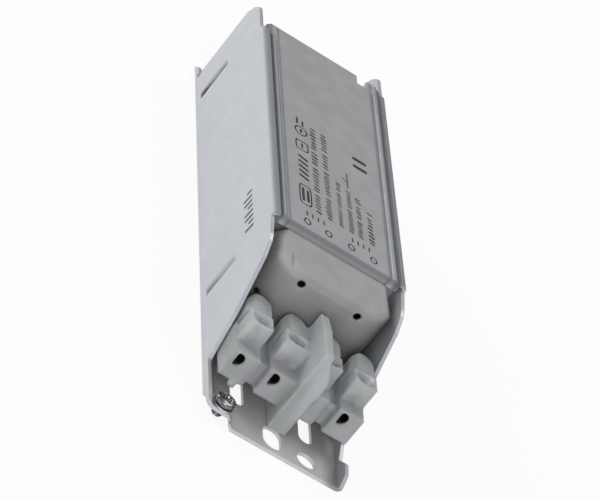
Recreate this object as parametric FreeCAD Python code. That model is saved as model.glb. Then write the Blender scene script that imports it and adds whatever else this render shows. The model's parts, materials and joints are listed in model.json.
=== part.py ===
# An encased lighting transformer in a ballast housing: a long iron core with two windings, held in a folded
# steel channel under a crimped cover, with a four-way screw terminal block at one end.
# Millimetres. X runs across the width, Y along the length, Z up from the face that the base rests on.
# The terminal end looks towards -Y. Distances along the length are counted from the terminal end of the base,
# and along() turns one into a Y coordinate. Distances across are counted from the middle.

import FreeCAD, Part
import math
import os

# Folded base channel
sheet = 1.0
body_width = 41.4
body_height = 34.0
base_length = 176.0
bend_outside = 1.5
lip_bend_outside = 1.3
lip_reach = 1.9
lip_start = 50.3
lip_end_from_end = 26.4
lip_end_run = 1.4
wall_end_from_end = 7.8
relief_height = 32.4
nose_height = 31.6
nose_end = 42.5
nose_run = 2.2
nose_drop = 0.6
knee_from_end = 36.2
knee_height = 28.2
shin_from_end = 26.8
shin_height = 15.6
flange_end = 20.6
flange_height = 3.7
flange_rise = 0.4
flange_run = 1.6
far_corner = 5.6
far_corner_bulge = 0.4
far_flange_height = 2.9
far_flange_from_end = 3.3
relief_notch = 0.7

# The upturned corner at the terminal end, on the side away from the earth screw
ear_height = 4.5
ear_start = 2.5
ear_end = 6.9
ear_dip = 11.2
ear_dip_height = 2.1
ear_dip_run = 5.2
ear_drop = 0.3

# Lanced stops that keep the core from sliding
near_lance = 49.6
far_lance_from_end = 23.0
lance_length = 13.7
lance_bottom = 3.3
lance_depth = 1.3
lance_run = 4.0
lance_clearance = 0.4

# Fixing slots and holes of the base
slot_width = 5.6
slot_length = 8.8
slot_from_end = 6.0
round_hole = 5.6
round_hole_from_side = 10.5
round_hole_from_end = 4.5
latch_slot_width = 4.1
latch_slot_shift = 0.1
latch_slot_start = 12.4
latch_slot_end = 27.4

# Raised corner for the earth screw
corner_raise = 2.4
corner_flat = 6.2
corner_slope = 2.2
corner_length = 6.0
corner_run = 3.5
corner_setback = 0.9
corner_round = 3.0
earth_from_side = 4.2
earth_from_end = 3.9
earth_thread = 3.0
earth_thread_play = 0.05
earth_washer_across = 6.2
earth_washer_thick = 0.5
earth_washer_play = 0.1
earth_head_across = 5.6
earth_head_height = 2.0
earth_head_round = 0.8
earth_cross_reach = 1.8
earth_cross_width = 0.9
earth_cross_floor = 0.7
earth_tip_height = 0.2

# Crimped cover
cover_sheet = 0.8
cover_start = 51.5
cover_from_end = 21.8
cover_front_gap = 0.3
cover_raise = 0.45
cover_side_play = 0.5
bead_width = 1.0
bead_rise = 0.3
bead_gap = 1.0
groove_width = 0.8
groove_depth = 0.45
bead_slope = 0.2
bead_from_end = 28.0
cover_step_run = 0.5
cover_notch_width = 3.4
cover_notch_depth = 4.4
cover_notch_from_side = 7.8
cover_corner = 1.6

# Iron core: long packs of E and I laminations
core_play = 0.1
core_corner = 0.9
weld_groove = 0.6

# Bobbin and windings
bobbin_wall = 0.8
bobbin_fit = 0.2
flange_thick = 0.8
divider_thick = 1.0
flange_play = 0.5
flange_rim = 0.2
flange_clip = 3.0
winding_fit = 0.05
tape_thick = 0.3
secondary_share = 0.49

# Covers over the end turns
cap_wall = 1.2
cap_front = 34.4
cap_corner = 12.0
cap_from_top = 2.1
cap_roof_drop = 2.3
cap_roof_start = 1.4
cap_bevel = 4.6
cap_edge_bevel = 1.1
collar_step = 1.5
hood_gap = 0.3
hood_bevel = 1.8
cap_hole = 2.0
cap_hole_from_side = 11.1
cap_hole_from_top = 4.6
cap_slit_width = 0.7
cap_slit_depth = 0.8
cap_slit_run = 7.1
cap_slit_from_side = 7.0
cap_slit_from_top = 3.4

# Terminal block
terminals = 4
block_play = 0.325
block_front = 13.2
block_floor = 5.4
tower_width = 7.4
step_top = 13.8
step_depth = 5.2
column_width = 6.6
column_depth = 5.8
column_top = 20.4
deck_top = 12.0
deck_back = 28.6
chimney_front = 25.6
chimney_back = 33.3
chimney_top = 20.0
chimney_lid = 1.2
chimney_bevel = 1.9
chimney_bore = 3.6
chimney_slot = 2.2
web_setback = 3.0
barrier_front = 9.2
barrier_back = 30.5
barrier_top = 26.2
barrier_thick = 3.6
barrier_tip_thick = 2.5
barrier_lean = 1.2
barrier_back_drop = 0.9
barrier_drop_start = 23.2
nose_reach = 3.7
nose_reach_high = 4.4
nose_shoulder = 19.2
nose_tip = 0.2
nose_depth = 2.0
screw_bore = 5.2
entry_width = 2.5
entry_height = 3.9
entry_across = -0.95
entry_middle = 11.2
skirt_drop = 1.8
skirt_width = 2.0
skirt_thick = 1.4
skirt_shift = 0.2
peg_length = 4.2
peg_root = 1.0
peg_play = 0.15

# Brass inserts, clamp screws and leads
insert_width = 5.6
insert_length = 7.2
insert_height = 6.4
insert_front_wall = 1.6
insert_back_wall = 1.2
insert_lift = 1.2
insert_play = 0.1
wire_bore = 3.0
clamp_thread = 3.0
clamp_thread_play = 0.05
clamp_head = 4.3
clamp_head_height = 2.0
clamp_head_lift = 1.0
driver_slot = 0.7
driver_slot_depth = 1.0
tail_width = 2.0
tail_thick = 0.8
tail_below_top = 1.4
primary_wire = 0.9
secondary_wire = 1.3
lead_gap = 0.3
lead_side_share = 0.8
lead_bend_run = 3.4

# Worked out from the sizes above
half = body_width / 2
inner_half = half - sheet
lip_end = base_length - lip_end_from_end
wall_end = base_length - wall_end_from_end
far_lance = base_length - far_lance_from_end
cover_end = base_length - cover_from_end
bead_end = base_length - bead_from_end
core_start = near_lance + lance_run + lance_clearance
far_core = far_lance - core_play
core_half = inner_half - core_play
top_of_core = body_height - sheet - cover_sheet
yoke = core_half / 3
leg_half = yoke
window_bottom = sheet + yoke
window_top = top_of_core - yoke
window_outer = core_half - yoke
coil_inner = leg_half + bobbin_fit + bobbin_wall
flange_reach = window_outer - flange_play
coil_outer = flange_reach - flange_rim - tape_thick
cap_top = body_height - cap_from_top
outer_tower = (terminals - 1) / 2
pitch = (inner_half - block_play - tower_width / 2) / outer_tower
latch_slot_across = pitch - latch_slot_shift
earth_across = half - earth_from_side
plate_under_screw = sheet + corner_raise


def along(distance):
    return distance - base_length / 2


def block(x0, x1, s0, s1, z0, z1):
    """A box from its limits across, along and up."""
    corner = FreeCAD.Vector(x0, along(s0), z0)
    return Part.makeBox(x1 - x0, s1 - s0, z1 - z0, corner)


def flat_face(points):
    closed = list(points) + [points[0]]
    return Part.Face(Part.makePolygon(closed))


def across_prism(points, x0, x1):
    """Extrudes an outline of (distance along, height) points across the width."""
    outline = [FreeCAD.Vector(x0, along(s), z) for s, z in points]
    return flat_face(outline).extrude(FreeCAD.Vector(x1 - x0, 0, 0))


def along_prism(points, s0, s1):
    """Extrudes an outline of (across, height) points along the length."""
    outline = [FreeCAD.Vector(x, along(s0), z) for x, z in points]
    return flat_face(outline).extrude(FreeCAD.Vector(0, s1 - s0, 0))


def upright(radius, x, s, z0, z1):
    return Part.makeCylinder(radius, z1 - z0, FreeCAD.Vector(x, along(s), z0))


def lengthwise(radius, x, s0, s1, z):
    start = FreeCAD.Vector(x, along(s0), z)
    return Part.makeCylinder(radius, s1 - s0, start, FreeCAD.Vector(0, 1, 0))


def mirrored_across(shape):
    return shape.mirror(FreeCAD.Vector(0, 0, 0), FreeCAD.Vector(1, 0, 0))


def rounded_bar(x_half, z0, z1, low_radius, high_radius):
    """A bar as long as the base with rounded long edges, centred across."""
    bar = block(-x_half, x_half, 0, base_length, z0, z1)
    long_edges = [e for e in bar.Edges if abs(e.BoundBox.YLength - base_length) < 1e-6]
    low = [e for e in long_edges if e.BoundBox.ZMax < (z0 + z1) / 2]
    bar = bar.makeFillet(low_radius, low)
    long_edges = [e for e in bar.Edges if abs(e.BoundBox.YLength - base_length) < 1e-6]
    high = [e for e in long_edges if e.BoundBox.ZMin > z1 - 1e-6]
    return bar.makeFillet(high_radius, high)


def obround(width, length, x, middle, z0, z1):
    """A slot with round ends that runs along the length."""
    radius = width / 2
    reach = length / 2 - radius
    slot = block(x - radius, x + radius, middle - reach, middle + reach, z0, z1)
    slot = slot.fuse(upright(radius, x, middle - reach, z0, z1))
    return slot.fuse(upright(radius, x, middle + reach, z0, z1))


def racetrack(x_half, s0, s1, z0, z1):
    """A bar whose plan has two straight sides and two half-round ends."""
    middle = block(-x_half, x_half, s0, s1, z0, z1)
    near = upright(x_half, 0, s0, z0, z1)
    far = upright(x_half, 0, s1, z0, z1)
    return middle.fuse([near, far]).removeSplitter()


def clipped_bar(x_half, s0, s1, z0, z1, clip):
    """A bar whose plan is a rectangle with clipped corners."""
    right = [(x_half - clip, s0), (x_half, s0 + clip), (x_half, s1 - clip), (x_half - clip, s1)]
    plan = right + [(-x, s) for x, s in reversed(right)]
    outline = [FreeCAD.Vector(x, along(s), z0) for x, s in plan]
    return flat_face(outline).extrude(FreeCAD.Vector(0, 0, z1 - z0))


# Base channel

def wall_outline(flange_points):
    """The side view of a wall, from the terminal end's flange over the top and back along the base."""
    return flange_points + [
        (flange_end, flange_height),
        (shin_from_end, shin_height),
        (knee_from_end, knee_height),
        (nose_end - nose_run, nose_height - nose_drop),
        (nose_end, nose_height),
        (lip_start, relief_height),
        (lip_start, body_height),
        (lip_end, body_height),
        (lip_end + lip_end_run, relief_height),
        (wall_end - far_corner, relief_height),
        (wall_end - far_corner * far_corner_bulge, relief_height - far_corner * far_corner_bulge),
        (wall_end, relief_height - far_corner),
        (wall_end, far_flange_height + 2 * relief_notch),
        (wall_end - relief_notch, far_flange_height + 2 * relief_notch),
        (wall_end - relief_notch, far_flange_height - relief_notch),
        (wall_end + relief_notch, far_flange_height - relief_notch),
        (wall_end + relief_notch, far_flange_height),
        (base_length - far_flange_from_end, far_flange_height),
        (base_length - flange_rise, sheet),
        (base_length, sheet),
        (base_length, 0),
        (0, 0),
    ]


def plain_flange():
    return [(0, sheet + flange_rise), (flange_run, flange_height)]


def eared_flange():
    return [
        (0, sheet + flange_rise),
        (ear_start, ear_height - ear_drop),
        (ear_end, ear_height),
        (ear_dip, ear_dip_height),
        (ear_dip + ear_dip_run, flange_height - ear_drop),
    ]


def folded_blank():
    outer = rounded_bar(half, 0, body_height, bend_outside, lip_bend_outside)
    inner = rounded_bar(inner_half, sheet, body_height - sheet, bend_outside - sheet,
                        lip_bend_outside - sheet)
    mouth = half - lip_reach
    opening = block(-mouth, mouth, 0, base_length, body_height / 2, body_height)
    return outer.cut(inner).cut(opening)


def corner_hollow(height):
    """The form that the raised earth corner is pressed over, with its foot at a height."""
    wide = corner_flat + corner_slope
    deep = corner_length + corner_run
    levels = [(wide, deep, height), (corner_flat, corner_length, height + corner_raise)]
    rims = []
    for reach, run, z in levels:
        plan = [(-half, 0), (-half + reach, 0), (-half + reach, run), (-half, run), (-half, 0)]
        rims.append(Part.makePolygon([FreeCAD.Vector(x, along(s), z) for x, s in plan]))
    return Part.makeLoft(rims, True, True)


def raised_corner():
    skin = corner_hollow(sheet).cut(corner_hollow(0))
    level = block(-half, half, -1, base_length, -1, sheet)
    return skin.cut(level)


def corner_trim():
    """What is cut off the raised corner's end: a short setback and a round corner."""
    lift = corner_raise + 2 * sheet + flange_height
    reach = corner_flat + corner_slope / 2
    strip = block(-half - 1, -half + reach, -1, corner_setback, 0, lift)
    square = block(-half - 1, -half + corner_round, -1, corner_setback + corner_round, 0, lift)
    disc = upright(corner_round, -half + corner_round, corner_setback + corner_round, -1, lift + 1)
    return strip.fuse(square.cut(disc))


def lance(slit):
    """The dished recess and the pushed-in tongue of one lanced stop on the left wall, open at its slit."""
    slope = math.atan2(lance_depth, lance_run)
    radius = (lance_length ** 2 / 4 + lance_depth ** 2) / (2 * lance_depth)
    direction = FreeCAD.Vector(-math.sin(slope), math.cos(slope), 0)
    tilted_radius = radius * math.cos(slope)
    start = FreeCAD.Vector(-half + lance_depth - radius, along(slit), lance_bottom + lance_length / 2)
    start = start - direction * lance_length
    recess = Part.makeCylinder(tilted_radius, 4 * lance_length, start, direction)
    bulge = Part.makeCylinder(tilted_radius + sheet, 4 * lance_length, start, direction)
    window = block(-half - 0.1, 0, slit, slit + 2 * lance_run, 0, body_height)
    inside = block(-inner_half, 0, slit, slit + 2 * lance_run, 0, body_height)
    return recess.common(window), bulge.cut(recess).common(inside)


def base_channel():
    left = across_prism(wall_outline(plain_flange()), -half, 0)
    right = across_prism(wall_outline(eared_flange()), 0, half)
    shape = folded_blank().common(left.fuse(right))
    shape = shape.cut(corner_hollow(0)).fuse(raised_corner()).cut(corner_trim())
    hole = earth_thread / 2 + earth_thread_play
    thread = upright(hole, -earth_across, earth_from_end, 0, plate_under_screw + 1)
    shape = shape.cut(thread)
    for slit in [near_lance, far_lance]:
        recess, tongue = lance(slit)
        shape = shape.cut(recess).fuse(tongue)
        shape = shape.cut(mirrored_across(recess)).fuse(mirrored_across(tongue))
    for middle in [slot_from_end, base_length - slot_from_end]:
        shape = shape.cut(obround(slot_width, slot_length, 0, middle, -1, 2 * sheet))
    round_hole_across = half - round_hole_from_side
    shape = shape.cut(upright(round_hole / 2, round_hole_across, round_hole_from_end, -1, 2 * sheet))
    latch_length = latch_slot_end - latch_slot_start
    latch_middle = (latch_slot_end + latch_slot_start) / 2
    for side in [-1, 1]:
        slot = obround(latch_slot_width, latch_length, side * latch_slot_across, latch_middle, -1, 2 * sheet)
        shape = shape.cut(slot)
    return shape.removeSplitter()


# Cover

def cover_outline(with_beads):
    """Half of the cover's end view, from the middle out to the edge and back under."""
    edge = inner_half - cover_side_play
    rim_top = body_height - sheet
    rim_bottom = rim_top - cover_sheet
    panel_top = rim_top + cover_raise
    bead_outer = half - lip_reach - bead_gap
    bead_inner = bead_outer - bead_width
    groove_inner = bead_inner - groove_width
    top = [(0, panel_top)]
    if with_beads:
        top += [
            (groove_inner, panel_top),
            (groove_inner + groove_width / 2, panel_top - groove_depth),
            (bead_inner, panel_top + bead_rise),
        ]
        top += [(bead_outer - bead_slope, panel_top + bead_rise), (bead_outer, rim_top)]
    else:
        top += [(bead_outer, panel_top), (bead_outer + bead_gap / 2, rim_top)]
    step = bead_outer - cover_sheet
    panel_bottom = panel_top - cover_sheet
    under = [(edge, rim_top), (edge, rim_bottom), (step, rim_bottom), (step - cover_step_run, panel_bottom)]
    return top + under + [(0, panel_bottom)]


def top_cover():
    end = cover_end
    beaded = along_prism(cover_outline(True), cover_start, bead_end)
    plain = along_prism(cover_outline(False), bead_end, end)
    right = beaded.fuse(plain)
    edge = inner_half - cover_side_play
    front_foot = cap_top - collar_step + cover_front_gap
    front = block(-edge, edge, cover_start, cover_start + cover_sheet, front_foot, body_height - sheet)
    shape = right.fuse([mirrored_across(right), front])
    height = body_height / 2
    notch_middle = half - cover_notch_from_side
    notch = block(notch_middle - cover_notch_width / 2, notch_middle + cover_notch_width / 2,
                  end - cover_notch_depth, end + 1, height, body_height + 1)
    shape = shape.cut(notch)
    for side in [-1, 1]:
        inner = side * (edge - cover_corner)
        outer = side * (edge + 1)
        square = block(min(inner, outer), max(inner, outer), end - cover_corner, end + 1, height,
                       body_height + 1)
        square = square.cut(upright(cover_corner, inner, end - cover_corner, 0, 2 * body_height))
        shape = shape.cut(square)
    return shape.removeSplitter()


# Iron core

def weld_grooves(height):
    """Shallow grooves along both sides of the core, where the packs are welded."""
    grooves = [lengthwise(weld_groove, side * core_half, 0, base_length, height) for side in [-1, 1]]
    return grooves[0].fuse(grooves[1])


def foot_corners():
    """What is taken off the lower corners of a piece so that it clears the bends of the base."""
    right = [(core_half, sheet), (core_half - core_corner, sheet), (core_half, sheet + core_corner)]
    prism = along_prism(right, 0, base_length)
    return prism.fuse(mirrored_across(prism))


def core_e_stack():
    shape = block(-core_half, core_half, core_start, far_core, sheet, window_top)
    for side in [-1, 1]:
        inner = side * leg_half
        outer = side * window_outer
        window = block(min(inner, outer), max(inner, outer), core_start - 1, far_core + 1, window_bottom,
                       window_top + 1)
        shape = shape.cut(window)
    return shape.cut(foot_corners()).cut(weld_grooves(window_top)).removeSplitter()


def core_i_stack():
    shape = block(-core_half, core_half, core_start, far_core, window_top, top_of_core)
    return shape.cut(weld_grooves(window_top)).removeSplitter()


# Bobbin and windings

def chambers():
    """The heights of the two winding chambers, lower one first."""
    low = window_bottom + winding_fit + flange_thick
    high = window_top - winding_fit - flange_thick
    room = high - low - divider_thick
    split = low + room * secondary_share
    return (low, split), (split + divider_thick, high)


def bobbin():
    lower, upper = chambers()
    bottom = lower[0] - flange_thick
    top = upper[1] + flange_thick
    shape = racetrack(coil_inner, core_start, far_core, bottom, top)
    near_end = core_start - flange_reach
    far_end = far_core + flange_reach
    for z0, z1 in [(bottom, lower[0]), (lower[1], upper[0]), (upper[1], top)]:
        shape = shape.fuse(clipped_bar(flange_reach, near_end, far_end, z0, z1, flange_clip))
    leg = leg_half + bobbin_fit
    hole = block(-leg, leg, core_start - bobbin_fit, far_core + bobbin_fit, 0, body_height)
    return shape.cut(hole).removeSplitter()


def ring(inner, outer, z0, z1):
    solid = racetrack(outer, core_start, far_core, z0, z1)
    return solid.cut(racetrack(inner, core_start, far_core, z0 - 1, z1 + 1))


def winding(chamber):
    return ring(coil_inner + winding_fit, coil_outer, chamber[0] + winding_fit, chamber[1] - winding_fit)


def tape(chamber):
    return ring(coil_outer, coil_outer + tape_thick, chamber[0] + winding_fit, chamber[1] - winding_fit)


# End covers

def top_bevels(side, roof):
    """What is taken off both upper long edges of a form that reaches to a side and a roof."""
    beyond = roof + 1
    right = [(side, roof - cap_bevel), (side, beyond), (side - cap_bevel - 1, beyond)]
    prism = along_prism(right, 0, base_length)
    return prism, mirrored_across(prism)


def cap_form(inset):
    """The solid form of the near end cover, shrunk by an inset on its closed sides."""
    side = core_half - inset
    front = cap_front + inset
    roof = cap_top - inset
    back = near_lance - core_play - inset
    corner = cap_corner - inset
    shape = block(-side, side, front + corner, core_start, sheet, roof)
    shape = shape.fuse(block(-side + corner, side - corner, front, core_start, sheet, roof))
    for x in [-side + corner, side - corner]:
        shape = shape.fuse(upright(corner, x, front + corner, sheet, roof))
    shape = shape.common(block(-half, half, 0, back, 0, body_height))
    slope_start = near_lance - cap_roof_start
    gradient = cap_roof_drop / (slope_start - cap_front)
    slope_end = front - 1
    drop = roof - gradient * (slope_start - slope_end)
    wedge = [(slope_start, roof), (slope_start, roof + 1), (slope_end, roof + 1), (slope_end, drop)]
    shape = shape.cut(across_prism(wedge, -half, half))
    bevels = top_bevels(side, roof)
    return shape.cut(bevels[0]).cut(bevels[1]).removeSplitter()


def collar(inset):
    """The narrower collar behind the near end cover, which reaches between the lanced stops to the core."""
    side = core_half - collar_step - inset
    roof = cap_top - collar_step - inset
    shape = block(-side, side, near_lance - core_play - cap_wall, core_start - core_play, sheet, roof)
    bevels = top_bevels(side, roof)
    return shape.cut(bevels[0]).cut(bevels[1])


def coil_end_cover_near():
    shape = cap_form(0)
    front = along(cap_front)
    crown_foot = cap_top - 2 * cap_roof_drop
    crown = [e for e in shape.Edges if e.BoundBox.YMin < front + 0.01 and e.BoundBox.ZMin > crown_foot]
    shape = shape.makeChamfer(cap_edge_bevel, crown)
    slit_middle = cap_slit_from_side - core_half
    slit = block(slit_middle - cap_slit_width / 2, slit_middle + cap_slit_width / 2, cap_front - 1,
                 cap_front + cap_slit_run, cap_top - cap_slit_from_top, cap_top + 1)
    shape = shape.cut(slit.cut(cap_form(cap_slit_depth)))
    shape = shape.fuse(collar(0)).cut(foot_corners())
    shape = shape.cut(cap_form(cap_wall)).cut(collar(cap_wall))
    hole_across = core_half - cap_hole_from_side
    for side in [-1, 1]:
        hole = lengthwise(cap_hole / 2, side * hole_across, cap_front - 1, cap_front + 2 * cap_wall,
                          cap_top - cap_hole_from_top)
        shape = shape.cut(hole)
    for number in range(terminals):
        shape = shape.cut(lead_path(number, lead_gap))
    return shape.removeSplitter()


def hood_form(inset):
    """The solid form of the far end cover, which follows the bobbin's flanges."""
    beyond = hood_gap + cap_wall - inset
    clip = flange_clip + beyond * (2 - math.sqrt(2))
    return clipped_bar(flange_reach + beyond, core_start, far_core + flange_reach + beyond, sheet,
                       window_top + beyond, clip)


def coil_end_cover_far():
    shape = hood_form(0)
    roof = shape.BoundBox.ZMax
    rim = [e for e in shape.Edges if e.BoundBox.ZMin > roof - 0.01]
    shape = shape.makeChamfer(hood_bevel, rim).cut(hood_form(cap_wall))
    return shape.common(block(-half, half, far_core + core_play, base_length, 0, body_height))


# Terminal block

def tower_x(tower):
    return (tower - outer_tower) * pitch


def entry(number):
    """The D-shaped wire entry of one terminal, flat on its left."""
    left = tower_x(number) + entry_across - entry_width / 2
    radius = entry_height / 2
    back = block_front + insert_front_wall + insert_play
    tube = lengthwise(radius, left + entry_width - radius, block_front - 1, back, entry_middle)
    return tube.common(block(left, half, block_front - 1, back, 0, body_height))


def insert_seat(play):
    """The limits of a brass insert in its tower: across half, along, and up."""
    start = block_front + insert_front_wall - play
    end = block_front + insert_front_wall + insert_length + play
    low = block_floor + insert_lift - play
    return insert_width / 2 + play, start, end, low, low + insert_height + 2 * play


def column_middle():
    return block_front + step_depth + column_depth / 2


def tower(number):
    x = tower_x(number)
    wide = tower_width / 2
    column_front = block_front + step_depth
    column_back = column_front + column_depth
    shape = block(x - wide, x + wide, block_front, chimney_front, block_floor, step_top)
    post = column_width / 2
    shape = shape.fuse(block(x - post, x + post, column_front, column_back, block_floor, column_top))
    round_middle = chimney_back - post
    chimney = upright(post, x, round_middle, block_floor, chimney_top)
    chimney = chimney.fuse(block(x - post, x + post, chimney_front, round_middle, block_floor, chimney_top))
    bevel = [
        (x - post, chimney_top - chimney_bevel),
        (x - post + chimney_bevel, chimney_top),
        (x - post, chimney_top),
    ]
    shape = shape.fuse(chimney.cut(along_prism(bevel, chimney_front, chimney_back)))
    skirt = block(x + skirt_shift, x + skirt_shift + skirt_width, block_front, block_front + skirt_thick,
                  block_floor - skirt_drop, block_floor)
    return shape.fuse(skirt) if number == 0 else shape


def tower_cuts(number):
    x = tower_x(number)
    half_width, start, end, low, high = insert_seat(insert_play)
    bore_middle = chimney_back - column_width / 2
    bore_top = chimney_top - chimney_lid
    pocket = block(x - half_width, x + half_width, start, end, block_floor - 1, high)
    bore = upright(screw_bore / 2, x, column_middle(), low, column_top + 1)
    chimney = block(x - chimney_bore / 2, x + chimney_bore / 2, bore_middle - chimney_bore / 2,
                    bore_middle + chimney_bore / 2, block_floor - 1, bore_top)
    gate = block(x - tail_width / 2 - insert_play, x + tail_width / 2 + insert_play, end - 1, bore_middle,
                 block_floor - 1, low + tail_thick + 2 * insert_play)
    back_slot = block(x - chimney_slot / 2, x + chimney_slot / 2, bore_middle, chimney_back + 1, block_floor,
                      bore_top)
    return entry(number).fuse([pocket, bore, chimney, gate, back_slot])


def barrier():
    """The tall blade between the two circuits, thinner towards its top, with a wide plate at its front."""
    foot = barrier_thick / 2
    tip = barrier_tip_thick / 2
    section = [(-foot, sheet), (foot, sheet), (tip, barrier_top), (-tip, barrier_top)]
    blade = along_prism(section, barrier_front, barrier_back)
    nose = [
        (-foot, sheet),
        (nose_reach, sheet),
        (nose_reach_high, nose_shoulder),
        (nose_tip, barrier_top),
        (-tip, barrier_top),
    ]
    blade = blade.fuse(along_prism(nose, barrier_front, barrier_front + nose_depth))
    above = barrier_top + 1
    lean = [
        (barrier_front - 1, above),
        (barrier_front + barrier_lean, above),
        (barrier_front, sheet),
        (barrier_front - 1, sheet),
    ]
    back_drop = [
        (barrier_drop_start, above),
        (barrier_back, above),
        (barrier_back, barrier_top - barrier_back_drop),
        (barrier_drop_start, barrier_top),
    ]
    blade = blade.cut(across_prism(lean, -half, half))
    return blade.cut(across_prism(back_drop, -half, half))


def terminal_block():
    shape = tower(0)
    for number in range(1, terminals):
        shape = shape.fuse(tower(number))
    reach = tower_x(terminals - 1) + tower_width / 2
    web_front = block_front + web_setback
    shape = shape.fuse(block(-reach, reach, web_front, deck_back, block_floor, deck_top))
    shape = shape.fuse(barrier())
    peg_half = latch_slot_width / 2 - peg_play
    peg_end = latch_slot_end - peg_play
    peg_top = block_floor + peg_root
    for middle in [-latch_slot_across, latch_slot_across]:
        peg = upright(peg_half, middle, peg_end - peg_half, earth_tip_height, peg_top)
        peg = peg.fuse(block(middle - peg_half, middle + peg_half, peg_end - peg_length, peg_end - peg_half,
                             earth_tip_height, peg_top))
        shape = shape.fuse(peg)
    for number in range(terminals):
        shape = shape.cut(tower_cuts(number))
    return shape.removeSplitter()


# Metal of the terminals

def tail_back():
    """How far along a terminal's solder tail reaches in its chimney."""
    return chimney_back - column_width / 2 + chimney_bore / 2 - tail_width / 2


def terminal_insert(number):
    x = tower_x(number)
    half_width, start, end, low, high = insert_seat(0)
    shape = block(x - half_width, x + half_width, start, end, low, high)
    bore_end = end - insert_back_wall
    shape = shape.cut(lengthwise(wire_bore / 2, x + entry_across, start - 1, bore_end, entry_middle))
    hole = clamp_thread / 2 + clamp_thread_play
    shape = shape.cut(upright(hole, x, column_middle(), entry_middle, high + 1))
    tail = block(x - tail_width / 2, x + tail_width / 2, end - tail_thick, tail_back(), low, low + tail_thick)
    upturn = block(x - tail_width / 2, x + tail_width / 2, tail_back() - tail_thick, tail_back(), low,
                   chimney_top - tail_below_top)
    return shape.fuse([tail, upturn]).removeSplitter()


def clamp_screw(number):
    x = tower_x(number)
    half_width, start, end, low, high = insert_seat(0)
    s = column_middle()
    head_bottom = high + clamp_head_lift
    head_top = head_bottom + clamp_head_height
    head = upright(clamp_head / 2, x, s, head_bottom, head_top)
    shank = upright(clamp_thread / 2, x, s, entry_middle + wire_bore / 4, head_bottom + clamp_head_height / 4)
    slot = block(x - clamp_head, x + clamp_head, s - driver_slot / 2, s + driver_slot / 2,
                 head_top - driver_slot_depth, head_top + 1)
    return head.cut(slot).fuse(shank).removeSplitter()


def lead_levels(number):
    lower, upper = chambers()
    primary = upper[0] + primary_wire
    secondary = (lower[0] + lower[1]) / 2
    return (primary, primary_wire / 2) if number < 2 else (secondary, secondary_wire / 2)


def bent_rod(radius, points):
    """A round rod through points, with mitred corners."""
    path = Part.Wire(Part.makePolygon(points))
    section = Part.Wire(Part.makeCircle(radius, points[0], points[1] - points[0]))
    mitred = 1
    return path.makePipeShell([section], True, False, mitred)


def lead_path(number, gap):
    """A lead from a terminal's tail through the end cover and round to its winding."""
    z, radius = lead_levels(number)
    radius = radius + gap
    x = tower_x(number)
    turn_limit = coil_outer + tape_thick
    widest = turn_limit * lead_side_share
    outermost = abs(x) > widest
    lands_at = math.copysign(min(widest, abs(x)), x)
    landing = core_start - math.sqrt(turn_limit ** 2 - lands_at ** 2)
    bend = landing - lead_bend_run if outermost else landing
    start = FreeCAD.Vector(x, along(tail_back()), z)
    corner = FreeCAD.Vector(x, along(bend), z)
    finish = FreeCAD.Vector(lands_at, along(landing), z)
    return bent_rod(radius, [start, corner, finish] if outermost else [start, finish])


def lead(number):
    turn = racetrack(coil_outer + tape_thick, core_start, far_core, 0, body_height)
    return lead_path(number, 0).cut(turn)


# Earth terminal

def earth_washer():
    top = plate_under_screw + earth_washer_thick
    washer = upright(earth_washer_across / 2, -earth_across, earth_from_end, plate_under_screw, top)
    hole = earth_thread / 2 + earth_washer_play
    return washer.cut(upright(hole, -earth_across, earth_from_end, plate_under_screw - 1, top + 1))


def earth_screw():
    z0 = plate_under_screw + earth_washer_thick
    head_top = z0 + earth_head_height
    head = upright(earth_head_across / 2, -earth_across, earth_from_end, z0, head_top)
    rim = [e for e in head.Edges if e.BoundBox.ZMin > head_top - 0.01]
    head = head.makeChamfer(earth_head_round, rim)
    wide = earth_cross_width / 2
    for x_half, s_half in [(earth_cross_reach, wide), (wide, earth_cross_reach)]:
        head = head.cut(block(-earth_across - x_half, -earth_across + x_half, earth_from_end - s_half,
                              earth_from_end + s_half, z0 + earth_cross_floor, head_top + 1))
    shank_top = z0 + earth_cross_floor / 2
    shank = upright(earth_thread / 2, -earth_across, earth_from_end, earth_tip_height, shank_top)
    return head.fuse(shank).removeSplitter()


def pieces():
    lower, upper = chambers()
    made = {
        "base_channel": base_channel(),
        "top_cover": top_cover(),
        "core_e_stack": core_e_stack(),
        "core_i_stack": core_i_stack(),
        "bobbin": bobbin(),
        "secondary_winding": winding(lower),
        "primary_winding": winding(upper),
        "secondary_tape": tape(lower),
        "primary_tape": tape(upper),
        "coil_end_cover_near": coil_end_cover_near(),
        "coil_end_cover_far": coil_end_cover_far(),
        "terminal_block": terminal_block(),
        "earth_screw": earth_screw(),
        "earth_washer": earth_washer(),
    }
    lead_names = ["primary_lead_1", "primary_lead_2", "secondary_lead_1", "secondary_lead_2"]
    for number in range(terminals):
        made[f"terminal_insert_{number + 1}"] = terminal_insert(number)
        made[f"clamp_screw_{number + 1}"] = clamp_screw(number)
        made[lead_names[number]] = lead(number)
    return made


def main():
    os.makedirs("parts", exist_ok=True)
    for name, shape in pieces().items():
        shape.exportStep(f"parts/{name}.step")


main()
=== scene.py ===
import json
import math
import random

import bmesh
import bpy
from mathutils import Matrix, Vector


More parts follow.
